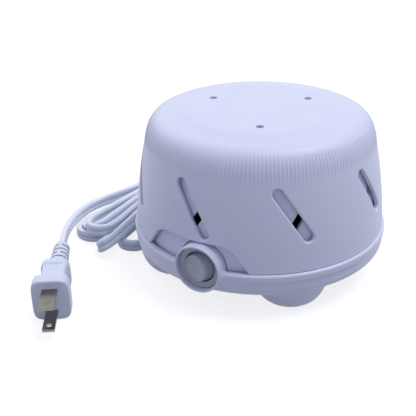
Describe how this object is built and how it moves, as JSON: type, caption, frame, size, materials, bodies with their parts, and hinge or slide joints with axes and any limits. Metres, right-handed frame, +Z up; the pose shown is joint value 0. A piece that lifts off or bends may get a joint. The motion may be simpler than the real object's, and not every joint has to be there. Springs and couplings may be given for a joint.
{
  "type": "white noise sound machine",
  "caption": "Round fan-type sound machine: slotted turning cover over a fixed vented housing, footed base with a rocker switch, and a bundled mains cord with a flat two-blade plug.",
  "frame": {"origin": "on the floor under the centre of the body, at the bottom centre of the object without its cord", "axes": "+Z up along the body's axis, the switch faces -Y and the cord leaves towards +Y"},
  "size_m": [0.2018, 0.2879, 0.0931],
  "materials": {
    "shell_plastic": "moulded ABS, pale cool white, satin",
    "pad_rubber": "moulded rubber",
    "zinc_steel": "zinc plated steel",
    "spring_steel": "tempered spring steel",
    "lamination_steel": "stacked electrical steel sheet",
    "bobbin_nylon": "moulded nylon",
    "winding_tape": "winding under polyester tape",
    "copper_wire": "bare copper wire",
    "bronze": "sintered bronze",
    "cast_aluminium": "die cast aluminium",
    "ground_steel": "ground steel rod",
    "fan_plastic": "moulded polypropylene",
    "switch_grey": "moulded polycarbonate, grey",
    "switch_black": "moulded nylon, black",
    "terminal_brass": "stamped brass",
    "wire_pvc": "PVC insulation",
    "cord_pvc": "flexible PVC, pale cool white",
    "plug_pvc": "moulded flexible PVC, ivory white",
    "blade_nickel": "nickel plated brass"
  },
  "bodies": {
    "base": {"base_tray": "shell_plastic", "inner_housing": "shell_plastic", "foot_pads": "pad_rubber", "housing_screws": "zinc_steel", "drag_spring": "spring_steel", "stator_core": "lamination_steel", "coil_bobbin": "bobbin_nylon", "coil_winding": "winding_tape", "shading_rings": "copper_wire", "upper_bracket": "zinc_steel", "lower_bracket": "zinc_steel", "bearing_bushes": "bronze", "motor_screws": "zinc_steel", "motor_nuts": "zinc_steel", "motor_grommets": "pad_rubber", "mounting_screws": "zinc_steel", "switch_frame": "switch_grey", "switch_body": "switch_black", "switch_terminals": "terminal_brass", "terminal_sleeves": "bobbin_nylon", "inner_wires": "wire_pvc", "coil_leads": "wire_pvc", "wire_caps": "bobbin_nylon", "cord_bushing": "cord_pvc", "cord_relief": "cord_pvc", "cord_inlet": "cord_pvc", "cord_feed": "cord_pvc", "cord_hank": "cord_pvc", "cord_lead": "cord_pvc", "plug_body": "plug_pvc", "plug_relief": "plug_pvc", "plug_blades": "blade_nickel"},
    "cover": {"outer_shell": "shell_plastic", "pivot_washer": "zinc_steel", "pivot_screw": "zinc_steel"},
    "rotor": {"rotor_core": "lamination_steel", "rotor_end_rings": "cast_aluminium", "motor_shaft": "ground_steel", "thrust_washers": "bobbin_nylon", "fan_wheel": "fan_plastic", "fan_clip": "spring_steel"},
    "rocker": {"switch_rocker": "switch_grey"}
  },
  "joints": [
    {"name": "cover_turn", "type": "hinge", "parent": "base", "child": "cover", "pos_m": [0, 0, 0.0879], "axis": [0, 0, 1], "range_deg": [-6.5, 16]},
    {"name": "fan_spin", "type": "hinge", "parent": "base", "child": "rotor", "pos_m": [0, 0, 0.037], "axis": [0, 0, 1], "continuous": true},
    {"name": "rocker_press", "type": "hinge", "parent": "base", "child": "rocker", "pos_m": [0, -0.0687, 0.0278], "axis": [0, 0, 1], "range_deg": [0, 32]}
  ]
}
